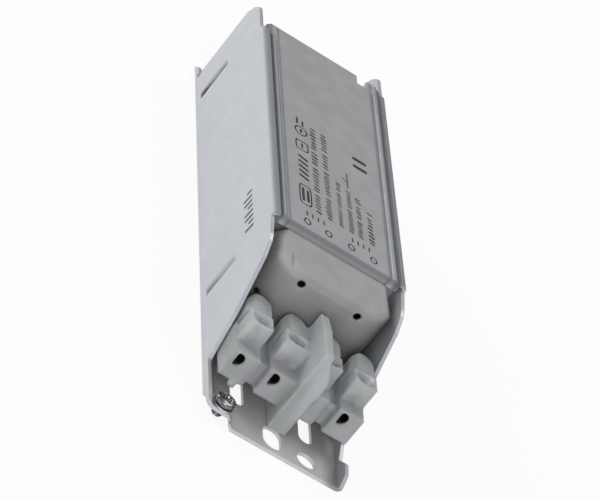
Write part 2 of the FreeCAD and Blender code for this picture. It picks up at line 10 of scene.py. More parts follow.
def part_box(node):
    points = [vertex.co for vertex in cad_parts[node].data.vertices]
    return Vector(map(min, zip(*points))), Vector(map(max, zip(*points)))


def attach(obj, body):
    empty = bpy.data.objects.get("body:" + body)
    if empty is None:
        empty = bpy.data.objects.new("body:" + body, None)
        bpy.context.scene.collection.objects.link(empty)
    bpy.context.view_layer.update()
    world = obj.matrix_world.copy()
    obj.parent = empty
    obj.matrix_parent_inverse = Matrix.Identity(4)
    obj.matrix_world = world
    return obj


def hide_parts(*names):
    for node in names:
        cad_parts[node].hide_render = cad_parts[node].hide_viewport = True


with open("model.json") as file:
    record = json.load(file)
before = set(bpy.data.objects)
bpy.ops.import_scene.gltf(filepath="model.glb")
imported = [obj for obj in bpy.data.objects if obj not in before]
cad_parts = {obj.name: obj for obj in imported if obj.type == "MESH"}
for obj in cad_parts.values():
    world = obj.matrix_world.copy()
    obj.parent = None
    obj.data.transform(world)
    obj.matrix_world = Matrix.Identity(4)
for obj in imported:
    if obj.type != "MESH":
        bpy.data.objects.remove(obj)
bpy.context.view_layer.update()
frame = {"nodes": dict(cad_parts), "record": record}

MM = 0.001

# Corners of the channel, in metres
BASE_LOW, BASE_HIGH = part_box("base_channel")


# Camera: the pose that was fitted to the edges in the photograph

IMAGE_WIDTH = 600
FOCAL_PIXELS = 3645.86
SENSOR_WIDTH = 36.0
CLIP_NEAR = 0.05
CLIP_FAR = 50.0
CAMERA_PLACE = Vector((-0.30892, -0.82256, 0.40093))
CAMERA_RIGHT = Vector((0.81433, -0.03613, 0.57927))
CAMERA_DOWN = Vector((0.47984, -0.51958, -0.70696))
CAMERA_FORWARD = Vector((0.32652, 0.85366, -0.40577))


def add_camera():
    data = bpy.data.cameras.new("camera")
    data.sensor_width = SENSOR_WIDTH
    data.lens = FOCAL_PIXELS / IMAGE_WIDTH * SENSOR_WIDTH
    data.clip_start = CLIP_NEAR
    data.clip_end = CLIP_FAR
    camera = bpy.data.objects.new("camera", data)
    turn = Matrix((CAMERA_RIGHT, -CAMERA_DOWN, -CAMERA_FORWARD)).transposed().to_4x4()
    camera.matrix_world = Matrix.Translation(CAMERA_PLACE) @ turn
    bpy.context.scene.collection.objects.link(camera)
    bpy.context.scene.camera = camera


# Materials. Lengths are in millimetres, colours in linear red, green and blue.

# The middle range of a noise texture, where most of its values lie
NOISE_LOW = 0.3
NOISE_HIGH = 0.7

BEVEL_SAMPLES = 6
EDGE_START = 0.02
CREVICE_SAMPLES = 8
CREVICE_RANGE = (0.15, 0.85)


def rgb(red, green, blue):
    return (red, green, blue, 1.0)


class Surface:
    """A node material whose textures are laid out in millimetres of the object."""

    def __init__(self, name, metallic=0.0):
        self.material = bpy.data.materials.new(name)
        self.material.use_nodes = True
        self.tree = self.material.node_tree
        self.tree.nodes.clear()
        out = self.add("ShaderNodeOutputMaterial")
        self.shader = self.add("ShaderNodeBsdfPrincipled")
        self.join(self.shader.outputs["BSDF"], out.inputs["Surface"])
        self.set("Metallic", metallic)
        place = self.add("ShaderNodeTexCoord")
        scale = self.add("ShaderNodeMapping")
        scale.inputs["Scale"].default_value = (1 / MM, 1 / MM, 1 / MM)
        self.join(place.outputs["Object"], scale.inputs["Vector"])
        self.place = scale.outputs["Vector"]
        axes = self.add("ShaderNodeSeparateXYZ")
        self.join(self.place, axes.inputs["Vector"])
        # Across the width, along the length and up from the base
        self.across, self.along, self.up = axes.outputs

    def add(self, kind):
        return self.tree.nodes.new(kind)

    def join(self, source, target):
        self.tree.links.new(source, target)

    def feed(self, target, value):
        """Give a socket another socket's output, or a plain value."""
        if isinstance(value, bpy.types.NodeSocket):
            self.join(value, target)
        else:
            target.default_value = value

    def set(self, socket, value):
        self.feed(self.shader.inputs[socket], value)

    def stretched(self, stretch):
        node = self.add("ShaderNodeMapping")
        node.inputs["Scale"].default_value = stretch
        self.join(self.place, node.inputs["Vector"])
        return node.outputs["Vector"]

    def noise(self, size, detail, stretch=None, distortion=0.0):
        node = self.add("ShaderNodeTexNoise")
        node.inputs["Scale"].default_value = 1 / size
        node.inputs["Detail"].default_value = detail
        node.inputs["Distortion"].default_value = distortion
        place = self.stretched(stretch) if stretch else self.place
        self.join(place, node.inputs["Vector"])
        return node.outputs["Fac"]

    def spots(self, pitch):
        """The distance from the nearest of many scattered points, as a share of their pitch."""
        node = self.add("ShaderNodeTexVoronoi")
        node.inputs["Scale"].default_value = 1 / pitch
        self.join(self.place, node.inputs["Vector"])
        return node.outputs["Distance"]

    def ramp(self, value, low, high, at_low=0.0, at_high=1.0):
        node = self.add("ShaderNodeMapRange")
        self.feed(node.inputs["Value"], value)
        node.inputs["From Min"].default_value = low
        node.inputs["From Max"].default_value = high
        node.inputs["To Min"].default_value = at_low
        node.inputs["To Max"].default_value = at_high
        return node.outputs["Result"]

    def spread(self, noise, at_low=0.0, at_high=1.0):
        """A ramp over the middle range of a noise."""
        return self.ramp(noise, NOISE_LOW, NOISE_HIGH, at_low, at_high)

    def mottle(self, size, detail, at_low=0.0, at_high=1.0):
        """A value that drifts between two others."""
        return self.spread(self.noise(size, detail), at_low, at_high)

    def math(self, operation, first, second=0.0):
        node = self.add("ShaderNodeMath")
        node.operation = operation
        self.feed(node.inputs[0], first)
        self.feed(node.inputs[1], second)
        return node.outputs["Value"]

    def product(self, first, second):
        return self.math("MULTIPLY", first, second)

    def wave(self, value, pitch):
        return self.math("SINE", self.product(value, 2 * math.pi / pitch))

    def blend(self, factor, first, second):
        node = self.add("ShaderNodeMix")
        node.data_type = "RGBA"
        self.feed(node.inputs["Factor"], factor)
        self.feed(node.inputs["A"], first)
        self.feed(node.inputs["B"], second)
        # The colour sockets of a Mix node come after its number and vector sockets
        return node.outputs[2]

    def rounded(self, radius):
        """The surface's direction with its edges rounded off."""
        node = self.add("ShaderNodeBevel")
        node.samples = BEVEL_SAMPLES
        node.inputs["Radius"].default_value = radius * MM
        return node.outputs["Normal"]

    def edges(self, radius, share=1.0, full=0.3):
        """A mask with its share on edges that stand out or fold in, and 0 on open faces."""
        geometry = self.add("ShaderNodeNewGeometry")
        node = self.add("ShaderNodeVectorMath")
        node.operation = "DOT_PRODUCT"
        self.join(self.rounded(radius), node.inputs[0])
        self.join(geometry.outputs["Normal"], node.inputs[1])
        turned = self.math("SUBTRACT", 1.0, node.outputs["Value"])
        return self.ramp(turned, EDGE_START, full, 0.0, share)

    def crevice(self, reach, share=1.0):
        """A mask for painted shade: its share deep in corners and gaps, where ambient light is blocked,
        and 0 on open faces.
        """
        node = self.add("ShaderNodeAmbientOcclusion")
        node.samples = CREVICE_SAMPLES
        node.inputs["Distance"].default_value = reach * MM
        return self.ramp(node.outputs["AO"], *CREVICE_RANGE, share, 0.0)

    def between(self, value, low, high, fade):
        """1 between two values and 0 outside them, with soft ends."""
        rise = self.ramp(value, low, low + fade)
        fall = self.ramp(value, high - fade, high, 1.0, 0.0)
        return self.product(rise, fall)

    def relief(self, height, distance, strength, normal=None):
        """The surface's direction with a height pattern pressed into it."""
        node = self.add("ShaderNodeBump")
        node.inputs["Strength"].default_value = strength
        node.inputs["Distance"].default_value = distance * MM
        self.feed(node.inputs["Height"], height)
        if normal is not None:
            self.join(normal, node.inputs["Normal"])
        return node.outputs["Normal"]

    def finish(self, tone, roughness, normal):
        self.set("Base Color", tone)
        self.set("Roughness", roughness)
        self.set("Normal", normal)
        return self.material


# Painted light and shade on the channel

# The stops pressed into the side walls: where each slit is, how strongly painted shade darkens each stop,
# and their height
STOP_SLITS = (-38.4, 65.0)
STOP_SHADE_SHARES = (0.62, 1.0)
STOP_LOW = 3.3
STOP_HIGH = 17.0
STOP_FADE = 0.8
SLIT_FADE = 0.1
WALL_FROM_MIDDLE = (19.1, 19.3)

# Along a stop, from its slit: where a mark starts, how far it is full, and where it ends
# The first run paints shade into each stop's pressed-in recess beside its slit
STOP_SHADE_RUN = (0.0, 1.9, 4.2)
# The second run paints a bright highlight along the near edge of each slit
SLIT_HIGHLIGHT_RUN = (-0.4, -0.05, 0.0)
STOP_SHADE_TONE = rgb(0.012, 0.014, 0.02)
SLIT_HIGHLIGHT_TONE = rgb(0.85, 0.86, 0.88)
# Painted shade in the stops is full at the lower height and falls to the least share at the upper one
STOP_SHADE_HEIGHTS = (4.3, 14.0)
STOP_SHADE_LEAST = 0.6

LIP_TOP = BASE_HIGH.z / MM
# The lips along the top of the walls get painted shade
LIP_FOLD = (LIP_TOP - 1.0, LIP_TOP - 0.5)
LIP_SHADE_SHARE = 0.72
LIP_SHADE_TONE = rgb(0.24, 0.255, 0.285)

# The inner floor with a warm painted reflection, and its near corner with a painted shadow
FLOOR_SKIN = (1.1, 1.5)
FLOOR_REFLECTION_SHARE = 0.6
FLOOR_REFLECTION_TONE = rgb(0.60, 0.565, 0.53)
CORNER_SHADOW_ACROSS = (14.5, 18.0)
CORNER_SHADOW_ALONG = (-76.0, -68.0)
CORNER_SHADOW_TONE = rgb(0.09, 0.095, 0.10)


def at_stops(made, run):
    """A mask along each slit that starts, is full and ends as the run says."""
    start, full, end = run
    mask = 0.0
    for slit, shade_share in zip(STOP_SLITS, STOP_SHADE_SHARES):
        before = made.ramp(made.along, slit + start - SLIT_FADE, slit + start)
        after = made.ramp(made.along, slit + full, slit + end, shade_share, 0.0)
        mask = made.math("ADD", made.product(before, after), mask)
    outside = made.ramp(made.math("ABSOLUTE", made.across), *WALL_FROM_MIDDLE)
    window = made.between(made.up, STOP_LOW, STOP_HIGH, STOP_FADE)
    return made.product(made.product(outside, window), mask)


def channel_painted_light(made, tone):
    """Painted shade in the pressed-in stops, a painted highlight along each slit, painted shade on the
    lips, a warm painted reflection on the floor and a painted shadow in its near corner.
    """
    shade_by_height = made.ramp(made.up, *STOP_SHADE_HEIGHTS, 1.0, STOP_SHADE_LEAST)
    tone = made.blend(made.product(at_stops(made, STOP_SHADE_RUN), shade_by_height), tone, STOP_SHADE_TONE)
    tone = made.blend(at_stops(made, SLIT_HIGHLIGHT_RUN), tone, SLIT_HIGHLIGHT_TONE)
    tone = made.blend(made.ramp(made.up, *LIP_FOLD, 0.0, LIP_SHADE_SHARE), tone, LIP_SHADE_TONE)
    floor = made.ramp(made.up, *FLOOR_SKIN, FLOOR_REFLECTION_SHARE, 0.0)
    tone = made.blend(floor, tone, FLOOR_REFLECTION_TONE)
    beside = made.product(floor, made.ramp(made.across, *CORNER_SHADOW_ACROSS))
    near = made.ramp(made.along, *CORNER_SHADOW_ALONG, 1.0, 0.0)
    return made.blend(made.product(beside, near), tone, CORNER_SHADOW_TONE)


# Painted light and shade on the cover

COVER_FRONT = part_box("top_cover")[0].y / MM
# The cover's bent-down front gets painted light at its foot and painted shade at its top
FRONT_DEPTH = (COVER_FRONT + 0.1, COVER_FRONT + 0.5)
FRONT_HEIGHT = (30.9, 32.5)
FRONT_LOW_LIGHT_TONE = rgb(0.70, 0.71, 0.73)
FRONT_HIGH_SHADE_TONE = rgb(0.30, 0.305, 0.32)

# Painted shade beside the beads' grooves and in the steps beside the lips, measured from the cover's
# middle line
GROOVE_SIDES = (15.0, 16.2)
GROOVE_FADE = 0.35
GROOVE_SHADE_SHARE = 0.55
GROOVE_SHADE_TONE = rgb(0.19, 0.20, 0.235)
STEP_RISE = (17.2, 17.9)
STEP_SHADE_SHARE = 0.65
STEP_SHADE_TONE = rgb(0.13, 0.135, 0.15)


def cover_painted_light(made, tone):
    """Painted light and shade on the front edge, and painted shade in a band beside each bead's groove and
    in the step under the lips.
    """
    front = made.ramp(made.along, *FRONT_DEPTH, 1.0, 0.0)
    face = made.blend(made.ramp(made.up, *FRONT_HEIGHT), FRONT_LOW_LIGHT_TONE, FRONT_HIGH_SHADE_TONE)
    tone = made.blend(front, tone, face)
    aside = made.math("ABSOLUTE", made.across)
    groove = made.between(aside, *GROOVE_SIDES, GROOVE_FADE)
    tone = made.blend(made.product(groove, GROOVE_SHADE_SHARE), tone, GROOVE_SHADE_TONE)
    return made.blend(made.ramp(aside, *STEP_RISE, 0.0, STEP_SHADE_SHARE), tone, STEP_SHADE_TONE)


# Painted shade on the coil's end covers

END_SHADE_HEIGHT = (27.6, 29.4)
END_SHADE_LOW_SHARE = 0.36
END_SHADE_FRONT = (-53.2, -51.2)
END_SHADE_FRONT_SHARE = 0.27
END_SHADE_SIDES = (15.8, 17.2)
END_SHADE_SIDE_SHARE = 0.7
END_SHADE_TONE = rgb(0.14, 0.135, 0.135)


def end_cover_shade(made, tone):
    """Painted shade on an end cover's front, clipped corners and lower part."""
    low = made.ramp(made.up, *END_SHADE_HEIGHT, END_SHADE_LOW_SHARE, 0.0)
    front = made.ramp(made.along, *END_SHADE_FRONT, END_SHADE_FRONT_SHARE, 0.0)
    side = made.ramp(made.math("ABSOLUTE", made.across), *END_SHADE_SIDES, 0.0, END_SHADE_SIDE_SHARE)
    dark = made.math("MAXIMUM", made.math("MAXIMUM", low, front), side)
    return made.blend(dark, tone, END_SHADE_TONE)


# Kinds of finish

STEEL_EDGE_TONE = rgb(0.17, 0.18, 0.185)
STEEL_CORNER_SHADE_TONE = rgb(0.23, 0.22, 0.21)


def sheet_steel(name, light, dark, fleck, metallic, roughness, painted_light):
    """Zinc-coated sheet: soft clouds, faint rolling lines along the length, fine grain, dull edges,
    painted shade in corners, and the part's own painted light and shade.
    """
    made = Surface(name, metallic)
    rolled = made.noise(size=1.0, detail=2.0, stretch=(2.2, 0.05, 2.2))
    grain = made.noise(size=0.35, detail=2.0)
    specks = made.ramp(made.spots(pitch=6.5), low=0.035, high=0.05, at_low=0.5, at_high=0.0)
    tone = made.blend(made.mottle(size=16.0, detail=3.0, at_high=0.5), light, dark)
    tone = made.blend(made.spread(rolled, at_high=0.12), tone, dark)
    tone = made.blend(made.spread(grain, at_high=0.14), tone, fleck)
    tone = made.blend(specks, tone, fleck)
    tone = made.blend(made.edges(radius=0.5, share=0.7), tone, STEEL_EDGE_TONE)
    # Painted shade in corners and gaps
    tone = made.blend(made.crevice(reach=4.0, share=0.35), tone, STEEL_CORNER_SHADE_TONE)
    satin = made.mottle(size=5.0, detail=4.0, at_low=roughness - 0.05, at_high=roughness + 0.07)
    height = made.math("ADD", made.product(grain, 0.4), made.product(rolled, 0.6))
    normal = made.relief(height, distance=0.012, strength=0.5, normal=made.rounded(radius=0.18))
    return made.finish(painted_light(made, tone), satin, normal)


# The packs of iron sheets, and painted light on the near end that shows at the cover's front edge
SHEET_PITCH = 0.5
SHEET_WAVER = 0.12
SHEET_GAP_TONE = rgb(0.03, 0.03, 0.035)
RUST_TONE = rgb(0.16, 0.08, 0.04)
PACK_END = (-33.9, -33.7)
PACK_END_LIGHT_SHARE = 0.85
PACK_END_LIGHT_TONE = rgb(0.68, 0.69, 0.70)


def laminated_iron(name, light, dark):
    """Stacked sheets: thin stripes along the length, blued faces, rust and painted light on the near end.
    """
    made = Surface(name, metallic=0.7)
    waver = made.product(made.noise(size=3.0, detail=2.0), SHEET_WAVER)
    uneven = made.math("ADD", made.along, waver)
    gaps = made.ramp(made.wave(uneven, SHEET_PITCH), low=0.55, high=0.95)
    rust = made.ramp(made.noise(size=4.0, detail=5.0), low=0.52, high=0.72, at_high=0.55)
    tone = made.blend(made.mottle(size=7.0, detail=3.0), light, dark)
    tone = made.blend(rust, tone, RUST_TONE)
    tone = made.blend(gaps, tone, SHEET_GAP_TONE)
    tone = made.blend(made.ramp(made.along, *PACK_END, PACK_END_LIGHT_SHARE, 0.0), tone, PACK_END_LIGHT_TONE)
    satin = made.mottle(size=1.2, detail=3.0, at_low=0.4, at_high=0.65)
    return made.finish(tone, satin, made.relief(gaps, distance=-0.06, strength=0.8))


SCATTER_SPREAD = (1.0, 1.05, 1.0)
SCATTER_REACH = 3.0
NYLON_IOR = 1.3
CREVICE_SHADE_TONE = rgb(0.07, 0.07, 0.075)


def moulded(name, light, dark, edge, roughness, scatter, gloss=0.5, clear=0.0, crevice_shade=0.0, painted_light=None):
    """Moulded plastic: faint flow clouds, a fine spark-eroded grain, edges of their own tone, painted
    shade in crevices where asked, and any painted shade given for the part.
    """
    made = Surface(name)
    made.set("Specular IOR Level", gloss)
    made.set("Subsurface Weight", scatter)
    made.set("Subsurface Radius", SCATTER_SPREAD)
    made.set("Subsurface Scale", SCATTER_REACH * MM)
    if clear:
        made.set("Transmission Weight", clear)
        made.set("IOR", NYLON_IOR)
    flow = made.noise(size=7.0, detail=3.0, distortion=0.6)
    tone = made.blend(made.ramp(flow, low=0.33, high=0.67), light, dark)
    tone = made.blend(made.mottle(size=0.8, detail=2.0, at_high=0.12), tone, edge)
    tone = made.blend(made.edges(radius=0.5, full=0.4), tone, edge)
    # Painted shade in crevices
    if crevice_shade:
        tone = made.blend(made.crevice(reach=12.0, share=crevice_shade), tone, CREVICE_SHADE_TONE)
    if painted_light:
        tone = painted_light(made, tone)
    satin = made.mottle(size=2.5, detail=4.0, at_low=roughness - 0.06, at_high=roughness + 0.08)
    grain = made.noise(size=0.16, detail=2.0)
    normal = made.relief(grain, distance=0.02, strength=0.35, normal=made.rounded(radius=0.3))
    return made.finish(tone, satin, normal)


TURNED_CORNER_SHADE_TONE = rgb(0.02, 0.02, 0.02)


def turned_metal(name, light, dark, roughness):
    """Plated metal: fine turning marks, small stains, bright edges and painted shade in corners."""
    made = Surface(name, metallic=1.0)
    marks = made.noise(size=0.25, detail=2.0, stretch=(1.0, 1.0, 6.0))
    stains = made.noise(size=1.3, detail=4.0)
    tone = made.blend(made.ramp(stains, low=0.35, high=NOISE_HIGH), light, dark)
    tone = made.blend(made.edges(radius=0.12), tone, light)
    tone = made.blend(made.crevice(reach=0.9), tone, TURNED_CORNER_SHADE_TONE)
    satin = made.spread(stains, roughness, roughness + 0.15)
    normal = made.relief(marks, distance=0.01, strength=0.5, normal=made.rounded(radius=0.08))
    return made.finish(tone, satin, normal)


WIRE_PITCH = 0.55
WIRE_GAP_TONE = rgb(0.06, 0.02, 0.01)


def wound_wire(name, light, dark):
    """Close turns of enamelled copper wire, one over the other."""
    made = Surface(name, metallic=0.75)
    turns = made.ramp(made.wave(made.up, WIRE_PITCH), low=-1.0, high=1.0)
    gaps = made.ramp(turns, low=0.0, high=0.35, at_low=0.7, at_high=0.0)
    tone = made.blend(made.mottle(size=2.0, detail=3.0), light, dark)
    tone = made.blend(gaps, tone, WIRE_GAP_TONE)
    satin = made.mottle(size=1.0, detail=3.0, at_low=0.22, at_high=0.38)
    return made.finish(tone, satin, made.relief(turns, distance=0.12, strength=0.9))


def enamelled_lead(name, light, dark):
    """Single enamelled copper wire."""
    made = Surface(name, metallic=0.8)
    tone = made.blend(made.mottle(size=1.5, detail=3.0), light, dark)
    satin = made.mottle(size=0.6, detail=3.0, at_low=0.2, at_high=0.36)
    grain = made.noise(size=0.3, detail=2.0)
    return made.finish(tone, satin, made.relief(grain, distance=0.01, strength=0.4))


LAP_PITCH = 2.6
LAP_SLANT = 0.12
LAP_SHARE = 0.5
LAP_TONE = rgb(0.06, 0.035, 0.02)


def polyester_tape(name, light, dark):
    """Varnished film tape wound over the turns, with its overlapped edges."""
    made = Surface(name)
    slant = made.math("ADD", made.up, made.product(made.along, LAP_SLANT))
    laps = made.ramp(made.math("PINGPONG", slant, LAP_PITCH), low=0.0, high=0.2, at_low=1.0, at_high=0.0)
    tone = made.blend(made.mottle(size=5.0, detail=3.0), light, dark)
    tone = made.blend(made.product(laps, LAP_SHARE), tone, LAP_TONE)
    satin = made.mottle(size=3.0, detail=3.0, at_low=0.16, at_high=0.3)
    return made.finish(tone, satin, made.relief(laps, distance=0.08, strength=0.6))


def printed_ink(name, dark, worn):
    """Pad-printed marks with thin patches where the metal shows through."""
    made = Surface(name)
    patches = made.ramp(made.noise(size=0.7, detail=4.0), low=0.5, high=0.8, at_high=0.6)
    tone = made.blend(patches, dark, worn)
    satin = made.mottle(size=0.4, detail=2.0, at_low=0.4, at_high=0.6)
    grain = made.noise(size=0.2, detail=2.0)
    return made.finish(tone, satin, made.relief(grain, distance=0.01, strength=0.4))


def make_finishes():
    """One material for each material slot of the record."""
    return {
        "channel_steel": sheet_steel(
            "channel_steel", light=rgb(0.50, 0.515, 0.55), dark=rgb(0.44, 0.46, 0.495),
            fleck=rgb(0.62, 0.63, 0.65), metallic=0.36, roughness=0.36, painted_light=channel_painted_light),
        "cover_steel": sheet_steel(
            "cover_steel", light=rgb(0.48, 0.485, 0.49), dark=rgb(0.43, 0.435, 0.44),
            fleck=rgb(0.62, 0.63, 0.63), metallic=0.4, roughness=0.34, painted_light=cover_painted_light),
        "core_iron": laminated_iron(
            "core_iron", light=rgb(0.19, 0.20, 0.22), dark=rgb(0.27, 0.275, 0.28)),
        "bobbin_plastic": moulded(
            "bobbin", light=rgb(0.62, 0.60, 0.55), dark=rgb(0.54, 0.52, 0.47),
            edge=rgb(0.70, 0.68, 0.64), roughness=0.45, scatter=0.2, crevice_shade=0.75),
        "winding_wire": wound_wire(
            "winding", light=rgb(0.42, 0.15, 0.06), dark=rgb(0.30, 0.09, 0.035)),
        "winding_tape": polyester_tape(
            "tape", light=rgb(0.16, 0.10, 0.045), dark=rgb(0.11, 0.065, 0.03)),
        "cap_plastic": moulded(
            "end_cover", light=rgb(0.335, 0.325, 0.318), dark=rgb(0.285, 0.277, 0.273),
            edge=rgb(0.34, 0.33, 0.327), roughness=0.5, scatter=0.12, gloss=0.4, crevice_shade=0.75,
            painted_light=end_cover_shade),
        "block_nylon": moulded(
            "nylon", light=rgb(0.735, 0.75, 0.78), dark=rgb(0.66, 0.69, 0.675),
            edge=rgb(0.80, 0.82, 0.845), roughness=0.46, scatter=1.0, clear=0.62),
        # The brass inserts are painted near black: painted shade for the deep wire holes they line
        "insert_brass": turned_metal(
            "insert", light=rgb(0.13, 0.12, 0.105), dark=rgb(0.06, 0.055, 0.05), roughness=0.35),
        "clamp_steel": turned_metal(
            "clamp_screw", light=rgb(0.66, 0.66, 0.64), dark=rgb(0.42, 0.42, 0.42), roughness=0.3),
        "lead_wire": enamelled_lead(
            "lead", light=rgb(0.22, 0.09, 0.045), dark=rgb(0.14, 0.05, 0.025)),
        "earth_screw_plate": turned_metal(
            "earth_screw", light=rgb(0.27, 0.27, 0.265), dark=rgb(0.08, 0.08, 0.08), roughness=0.16),
        "earth_washer_plate": turned_metal(
            "earth_washer", light=rgb(0.62, 0.62, 0.63), dark=rgb(0.46, 0.46, 0.47), roughness=0.3),
    }


def dress_nodes(finishes):
    """Give each CAD node the material of its slot in the record."""
    slots = {part["node"]: part["material_slot"] for part in frame["record"]["subparts"]}
    for name, obj in frame["nodes"].items():
        material = finishes[slots[name]]
        if not obj.material_slots:
            obj.data.materials.append(material)
        for place in obj.material_slots:
            place.material = material


# Mesh helpers

def link_mesh(name, mesh, material):
    """Put a mesh in the scene as a piece that rides on the one body."""
    obj = bpy.data.objects.new(name, mesh)
    bpy.context.scene.collection.objects.link(obj)
    mesh.materials.append(material)
    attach(obj, "root")
    return obj


def mesh_of(name, points, faces, smooth=False):
    mesh = bpy.data.meshes.new(name)
    mesh.from_pydata(points, [], faces)
    mesh.update()
    for face in mesh.polygons:
        face.use_smooth = smooth
    return mesh


# Mouldings with rounded edges and corners

SMOOTH_FACTOR = 0.5


def soften(node, step, rounds, material):
    """A moulding's own form, rebuilt in even small facets with every edge rounded off."""
    source = frame["nodes"][node]
    draft = bpy.data.objects.new(node + "_draft", source.data.copy())
    draft.matrix_world = source.matrix_world
    bpy.context.scene.collection.objects.link(draft)
    even = draft.modifiers.new("even", "REMESH")
    even.mode = "VOXEL"
    even.voxel_size = step * MM
    even.adaptivity = 0.0
    round_off = draft.modifiers.new("round", "SMOOTH")
    round_off.factor = SMOOTH_FACTOR
    round_off.iterations = rounds
    bpy.context.view_layer.update()
    ready = draft.evaluated_get(bpy.context.evaluated_depsgraph_get())
    mesh = bpy.data.meshes.new_from_object(ready)
    mesh.transform(draft.matrix_world)
    bpy.data.objects.remove(draft)
    mesh.materials.clear()
    for face in mesh.polygons:
        face.use_smooth = True
    piece = link_mesh(node + "_moulding", mesh, material)
    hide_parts(node)


# Earth screw: a domed head with a cross recess on a threaded shank

SCREW_SIDES = 72
SCREW_TURN = math.radians(22)

# The head, in shares of its radius and of its height
CROWN_RADIUS = 0.9
CROWN_ROWS = 30
CROWN_FALL = 0.22
RIM_ROWS = 8
RIM_FALL = 0.4
RECESS_DEPTH = 0.8
RECESS_REACH = 0.72

# The arms' and the hub's sides in shares of the recess's width, the arms' ends in shares of its reach
RECESS_WIDTH = 1.15
ARM_SIDE = (0.3, 0.62)
ARM_END = (0.35, 1.0)
HUB_SIDE = (0.5, 1.15)

RIM_CHAMFER = 0.12
NECK_FLARE = 0.1
SHANK_RADIUS = 1.5
THREAD_START = 0.05
THREAD_ROWS = 60
THREAD_PITCH = 0.5
THREAD_DEPTH = 0.24
TIP_LENGTH = 0.5
TIP_TAPER = 0.35
MERGE_DISTANCE = 1e-7

CROWN, PLAIN, THREAD = "crown", "plain", "thread"


def smooth_step(value, low, high):
    t = min(max((value - low) / (high - low), 0.0), 1.0)
    return t * t * (3 - 2 * t)


def recess(x, y, reach, wide):
    """How deep the cross recess is at a place on the head, from 0 to 1."""
    deepest = 1 - smooth_step(math.hypot(x, y) / wide, *HUB_SIDE)
    for along, across in ((x, y), (y, x)):
        arm = 1 - smooth_step(abs(across) / wide, *ARM_SIDE)
        end = 1 - smooth_step(abs(along) / reach, *ARM_END)
        deepest = max(deepest, arm * end)
    return deepest


def screw_profile(head_radius, head_high, head_low, tip):
    """Radius, height and kind of each row, from the middle of the head down to the tip."""
    dome = head_high - head_low
    rows = []
    for step in range(CROWN_ROWS):
        share = CROWN_RADIUS * step / (CROWN_ROWS - 1)
        rows.append((head_radius * share, head_high - dome * CROWN_FALL * share ** 2, CROWN))
    rim_high = head_high - dome * CROWN_FALL * CROWN_RADIUS ** 2
    for step in range(1, RIM_ROWS + 1):
        turn = math.pi / 2 * step / RIM_ROWS
        radius = head_radius * (CROWN_RADIUS + (1 - CROWN_RADIUS) * math.sin(turn))
        rows.append((radius, rim_high - dome * RIM_FALL * (1 - math.cos(turn)), PLAIN))
    rows.append((head_radius, head_low + RIM_CHAMFER, PLAIN))
    rows.append((head_radius - RIM_CHAMFER, head_low, PLAIN))
    rows.append((SHANK_RADIUS + NECK_FLARE, head_low, PLAIN))
    thread_high = head_low - THREAD_START
    for step in range(THREAD_ROWS + 1):
        rows.append((SHANK_RADIUS, thread_high - (thread_high - tip) * step / THREAD_ROWS, THREAD))
    return rows


def screw_piece(material):
    low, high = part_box("earth_screw")
    head_radius = (high.x - low.x) / 2 / MM
    head_high = high.z / MM
    head_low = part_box("earth_washer")[1].z / MM
    tip = low.z / MM
    rows = screw_profile(head_radius, head_high, head_low, tip)
    middle = (low + high) / 2
    spin = Matrix.Rotation(SCREW_TURN, 3, "Z")
    points = []
    for row_radius, row_height, kind in rows:
        for step in range(SCREW_SIDES):
            turn = 2 * math.pi * step / SCREW_SIDES
            radius, height = row_radius, row_height
            if kind == CROWN:
                x, y = radius * math.cos(turn), radius * math.sin(turn)
                sunk = recess(x, y, head_radius * RECESS_REACH, RECESS_WIDTH)
                height -= (head_high - head_low) * RECESS_DEPTH * sunk
            elif kind == THREAD:
                phase = (height / THREAD_PITCH + step / SCREW_SIDES) % 1.0
                radius -= THREAD_DEPTH * abs(2 * phase - 1)
                radius -= TIP_TAPER * smooth_step(tip + TIP_LENGTH - height, 0.0, TIP_LENGTH)
            place = Vector((radius * math.cos(turn), radius * math.sin(turn), height)) * MM
            points.append(spin @ place + Vector((middle.x, middle.y, 0)))
    faces = []
    for row in range(len(rows) - 1):
        upper, lower = row * SCREW_SIDES, (row + 1) * SCREW_SIDES
        for step in range(SCREW_SIDES):
            other = (step + 1) % SCREW_SIDES
            faces.append((upper + step, lower + step, lower + other, upper + other))
    last = (len(rows) - 1) * SCREW_SIDES
    faces.append([last + step for step in reversed(range(SCREW_SIDES))])
    mesh = mesh_of("earth_screw_detail", points, faces, smooth=True)
    merged = bmesh.new()
    merged.from_mesh(mesh)
    bmesh.ops.remove_doubles(merged, verts=merged.verts, dist=MERGE_DISTANCE)
    bmesh.ops.recalc_face_normals(merged, faces=merged.faces)
    merged.to_mesh(mesh)
    merged.free()
    piece = link_mesh("earth_screw_detail", mesh, material)
    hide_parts("earth_screw")


# Printed marks: plain rings, bars and rows of short strokes

INK_THICK = 0.02 * MM
END_POINTS = 6
RING_POINTS = 40

# A row of strokes: how many stand together, and their measures as shares of the row's height
ROW_LEAN = math.radians(74)
ROW_GROUP = (4, 8)
GROUP_GAP = 0.6
STROKE_WIDE = (0.30, 0.46)
STROKE_LONG = (0.8, 1.15)
STROKE_SHIFT = (-0.06, 0.06)
STROKE_GAP = (0.38, 0.52)


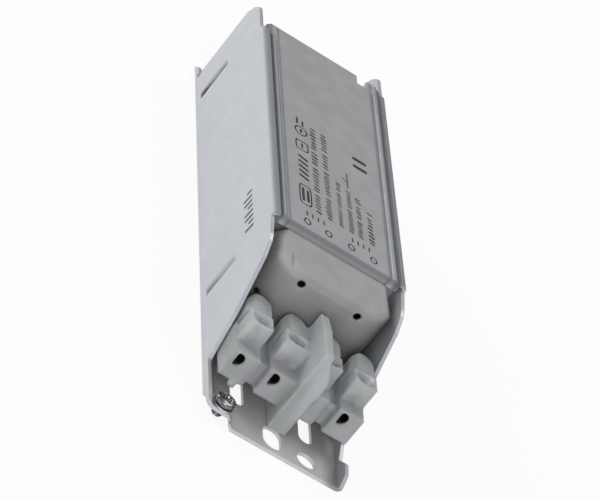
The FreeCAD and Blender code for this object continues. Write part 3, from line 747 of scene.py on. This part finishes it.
class Marks:
    """Flat closed shapes laid on a face, each a thin plate."""

    def __init__(self, origin, along, up, out):
        self.origin = Vector(origin)
        self.along = Vector(along)
        self.up = Vector(up)
        self.out = Vector(out)
        self.points = []
        self.faces = []

    def place(self, a, b, lift):
        return self.origin + self.along * a * MM + self.up * b * MM + self.out * lift

    def plate(self, outline):
        """A plate from an outline that runs anticlockwise as seen from outside."""
        start = len(self.points)
        count = len(outline)
        for lift in (0.0, INK_THICK):
            self.points += [self.place(a, b, lift) for a, b in outline]
        self.faces.append([start + count + i for i in range(count)])
        self.faces.append([start + i for i in reversed(range(count))])
        for i in range(count):
            j = (i + 1) % count
            self.faces.append([start + i, start + j, start + count + j, start + count + i])

    def bar(self, a, b, long, wide, turn=0.0):
        """A bar with round ends, centred at a, b."""
        radius = wide / 2
        reach = max(long / 2 - radius, 0.0)
        cosine, sine = math.cos(turn), math.sin(turn)
        outline = []
        for side in (1, -1):
            for step in range(END_POINTS):
                angle = math.pi * (step / (END_POINTS - 1) - 0.5)
                x = side * (radius * math.cos(angle) + reach)
                y = side * radius * math.sin(angle)
                outline.append((a + x * cosine - y * sine, b + x * sine + y * cosine))
        self.plate(outline)

    def ring(self, a, b, long, high, wide, power=2.0):
        """An oval, or with a high power a rounded box, drawn as a line of even width."""
        start = len(self.points)

        def corner(angle, grow):
            c, s = math.cos(angle), math.sin(angle)
            x = (long / 2 + grow) * math.copysign(abs(c) ** (2 / power), c)
            y = (high / 2 + grow) * math.copysign(abs(s) ** (2 / power), s)
            return a + x, b + y

        for step in range(RING_POINTS):
            angle = 2 * math.pi * step / RING_POINTS
            outer = corner(angle, 0.0)
            inner = corner(angle, -wide)
            self.points += [self.place(*inner, 0.0), self.place(*outer, 0.0),
                            self.place(*inner, INK_THICK), self.place(*outer, INK_THICK)]
        for step in range(RING_POINTS):
            i = start + 4 * step
            j = start + 4 * ((step + 1) % RING_POINTS)
            self.faces += [[i + 2, i + 3, j + 3, j + 2], [i, j, j + 1, i + 1],
                           [i + 1, j + 1, j + 3, i + 3], [i, i + 2, j + 2, j]]

    def row(self, a0, a1, b, high, chance):
        """A row of leaning strokes of uneven width and length, in groups."""
        a = a0
        group = chance.randint(*ROW_GROUP)
        while a < a1:
            if group == 0:
                group = chance.randint(*ROW_GROUP)
                a += high * GROUP_GAP
                continue
            wide = high * chance.uniform(*STROKE_WIDE)
            long = high * chance.uniform(*STROKE_LONG)
            self.bar(a, b + high * chance.uniform(*STROKE_SHIFT), long, wide, ROW_LEAN)
            a += wide + high * chance.uniform(*STROKE_GAP)
            group -= 1

    def piece(self, name, material):
        link_mesh(name, mesh_of(name, self.points, self.faces), material)


# Marks on the cover: place along the length, place across to the left, then length, height and line width

ENTRY_RINGS_ALONG = -32.7
ENTRY_RINGS_ACROSS = (10.1, 3.5, -3.6, -10.6)
ENTRY_RING = (3.0, 2.3, 0.45)

TICKS_ALONG = -28.6
TICK_GROUPS_ACROSS = (7.4, -6.8)
TICKS = 4
TICK_PITCH = 1.75
TICK = (2.2, 0.42)

# The last number makes a ring rounder or squarer
BOX_RINGS = (
    (-19.6, 10.1, 10.0, 4.0, 0.42, 5.0),
    (5.9, 10.1, 5.0, 4.2, 0.42, 6.0),
    (13.8, 10.1, 4.6, 4.2, 0.46, 2.0),
)

# The last number is the turn in degrees
COVER_BARS = (
    (-19.6, 10.8, 6.8, 0.8, 0),
    (-19.6, 9.3, 6.0, 0.8, 0),
    (5.9, 10.1, 2.6, 0.6, 0),
    (13.8, 10.1, 2.0, 0.7, 0),
    (18.6, 11.2, 3.6, 0.6, 0),
    (18.2, 9.4, 2.8, 0.6, 0),
    (1.2, -4.2, 7.6, 0.34, 0),
    (1.2, -3.3, 2.0, 0.34, 50),
    (12.2, -9.0, 4.8, 1.5, 90),
    (16.2, -9.0, 4.8, 1.5, 90),
)

SLANTED_BARS = 5
SLANTED_START = -10.6
SLANTED_PITCH = 2.5
SLANTED_ACROSS = 10.1
SLANTED_BAR = (3.4, 1.0, math.radians(72))

# Rows of strokes: start and end along the length, place across, and height
COVER_ROWS = (
    (-24.6, 18.6, 6.2, 2.0),
    (-24.6, 19.0, 2.7, 1.9),
    (-24.6, -2.0, -0.9, 1.5),
    (-24.6, -4.5, -4.2, 1.7),
    (-24.6, -4.5, -7.1, 1.8),
    (-24.6, -8.4, -10.6, 2.0),
)
ROW_SEED = 7
NEARLY_LEVEL = 0.999


def panel_height():
    """The height of the cover's flat middle."""
    mesh = frame["nodes"]["top_cover"].data
    level = [face for face in mesh.polygons if face.normal.z > NEARLY_LEVEL]
    return max(level, key=lambda face: face.area).center.z


def cover_marks(material):
    marks = Marks(origin=(0, 0, panel_height()), along=(0, 1, 0), up=(-1, 0, 0), out=(0, 0, 1))
    for across in ENTRY_RINGS_ACROSS:
        marks.ring(ENTRY_RINGS_ALONG, across, *ENTRY_RING)
    for across in TICK_GROUPS_ACROSS:
        for step in range(TICKS):
            marks.bar(TICKS_ALONG, across + (step - (TICKS - 1) / 2) * TICK_PITCH, *TICK)
    for ring in BOX_RINGS:
        marks.ring(*ring)
    for along, across, long, wide, degrees in COVER_BARS:
        marks.bar(along, across, long, wide, math.radians(degrees))
    for step in range(SLANTED_BARS):
        marks.bar(SLANTED_START + step * SLANTED_PITCH, SLANTED_ACROSS, *SLANTED_BAR)
    chance = random.Random(ROW_SEED)
    for row in COVER_ROWS:
        marks.row(*row, chance)
    marks.piece("cover_marks", material)


# Marks on the left wall: leaning bars in a line, the first and every third after it short

WALL_BARS = 8
WALL_START = 14.6
WALL_PITCH = 2.4
WALL_HEIGHT = 23.0
WALL_BAR_LONG = 3.9
WALL_BAR_SHORT = 2.4
WALL_BAR_WIDE = 0.95
WALL_LEAN = math.radians(82)


def wall_marks(material):
    marks = Marks(origin=(BASE_LOW.x, 0, 0), along=(0, -1, 0), up=(0, 0, 1), out=(-1, 0, 0))
    for step in range(WALL_BARS):
        long = WALL_BAR_LONG if step % 3 else WALL_BAR_SHORT
        height = WALL_HEIGHT + (WALL_BAR_LONG - long) / 2
        marks.bar(WALL_START + step * WALL_PITCH, height, long, WALL_BAR_WIDE, WALL_LEAN)
    marks.piece("wall_marks", material)


# Floor, light and view

FLOOR_HALF = 8.0
FLOOR_GAP = 0.15 * MM
FLOOR_COLOUR = rgb(0.86, 0.86, 0.86)
FLOOR_GLOW = rgb(1.0, 1.0, 1.0)
FLOOR_GLOW_SHARE = 0.9

# Name, place, size and power
LAMPS = (
    ("key", (-1.35, 1.0, 0.8), 0.8, 14.5),
    ("top", (0.6, 0.5, 1.4), 1.0, 8.0),
    ("fill", (-0.35, -1.55, 0.5), 1.2, 15.5),
)
LAMP_TARGET = Vector((0, 0, 0.02))

SKY_COLOUR = rgb(0.97, 0.985, 1.0)
SKY_LEAN = (-0.5, -0.35, 0.55)
SKY_RANGE = (-0.45, 0.75)
SKY_STRENGTH = (0.08, 0.52)


def floor_material():
    """Matt white that looks evenly lit where it is seen, mirrored or looked at through the block."""
    material = bpy.data.materials.new("floor")
    material.use_nodes = True
    nodes, links = material.node_tree.nodes, material.node_tree.links
    nodes.clear()
    out = nodes.new("ShaderNodeOutputMaterial")
    matt = nodes.new("ShaderNodeBsdfDiffuse")
    matt.inputs["Color"].default_value = FLOOR_COLOUR
    white = nodes.new("ShaderNodeEmission")
    white.inputs["Color"].default_value = FLOOR_GLOW
    path = nodes.new("ShaderNodeLightPath")
    through = nodes.new("ShaderNodeMath")
    through.operation = "MAXIMUM"
    links.new(path.outputs["Is Glossy Ray"], through.inputs[0])
    links.new(path.outputs["Is Transmission Ray"], through.inputs[1])
    seen = nodes.new("ShaderNodeMath")
    seen.operation = "MAXIMUM"
    links.new(path.outputs["Is Camera Ray"], seen.inputs[0])
    links.new(through.outputs["Value"], seen.inputs[1])
    share = nodes.new("ShaderNodeMath")
    share.operation = "MULTIPLY"
    share.inputs[1].default_value = FLOOR_GLOW_SHARE
    links.new(seen.outputs["Value"], share.inputs[0])
    mix = nodes.new("ShaderNodeMixShader")
    links.new(share.outputs["Value"], mix.inputs["Fac"])
    links.new(matt.outputs["BSDF"], mix.inputs[1])
    links.new(white.outputs["Emission"], mix.inputs[2])
    links.new(mix.outputs["Shader"], out.inputs["Surface"])
    return material


def add_floor():
    mesh = bpy.data.meshes.new("floor")
    made = bmesh.new()
    bmesh.ops.create_grid(made, x_segments=1, y_segments=1, size=FLOOR_HALF)
    made.to_mesh(mesh)
    made.free()
    mesh.materials.append(floor_material())
    floor = bpy.data.objects.new("floor", mesh)
    floor.location.z = BASE_LOW.z - FLOOR_GAP
    bpy.context.scene.collection.objects.link(floor)


def add_lamp(name, place, size, watts):
    data = bpy.data.lights.new(name, "AREA")
    data.shape = "DISK"
    data.size = size
    data.energy = watts
    lamp = bpy.data.objects.new(name, data)
    lamp.location = place
    lamp.rotation_euler = (LAMP_TARGET - Vector(place)).to_track_quat("-Z", "Y").to_euler()
    bpy.context.scene.collection.objects.link(lamp)


def add_light():
    """A studio that is brighter on the left and overhead, and dimmer behind and on the right."""
    world = bpy.data.worlds.new("studio")
    world.use_nodes = True
    nodes, links = world.node_tree.nodes, world.node_tree.links
    place = nodes.new("ShaderNodeTexCoord")
    lean = nodes.new("ShaderNodeVectorMath")
    lean.operation = "DOT_PRODUCT"
    lean.inputs[1].default_value = SKY_LEAN
    links.new(place.outputs["Generated"], lean.inputs[0])
    level = nodes.new("ShaderNodeMapRange")
    level.inputs["From Min"].default_value = SKY_RANGE[0]
    level.inputs["From Max"].default_value = SKY_RANGE[1]
    level.inputs["To Min"].default_value = SKY_STRENGTH[0]
    level.inputs["To Max"].default_value = SKY_STRENGTH[1]
    links.new(lean.outputs["Value"], level.inputs["Value"])
    sky = nodes["Background"]
    sky.inputs["Color"].default_value = SKY_COLOUR
    links.new(level.outputs["Result"], sky.inputs["Strength"])
    bpy.context.scene.world = world
    for lamp in LAMPS:
        add_lamp(*lamp)


finishes = make_finishes()
dress_nodes(finishes)
cover_marks(printed_ink("cover_ink", dark=rgb(0.016, 0.018, 0.022), worn=rgb(0.10, 0.10, 0.105)))
wall_marks(printed_ink("wall_ink", dark=rgb(0.03, 0.03, 0.045), worn=rgb(0.18, 0.19, 0.22)))
soften("terminal_block", 0.3, 8, finishes["block_nylon"])
soften("coil_end_cover_near", 0.35, 22, finishes["cap_plastic"])
soften("coil_end_cover_far", 0.4, 10, finishes["cap_plastic"])
screw_piece(finishes["earth_screw_plate"])
add_floor()
add_light()
add_camera()
bpy.context.scene.view_settings.view_transform = "Standard"
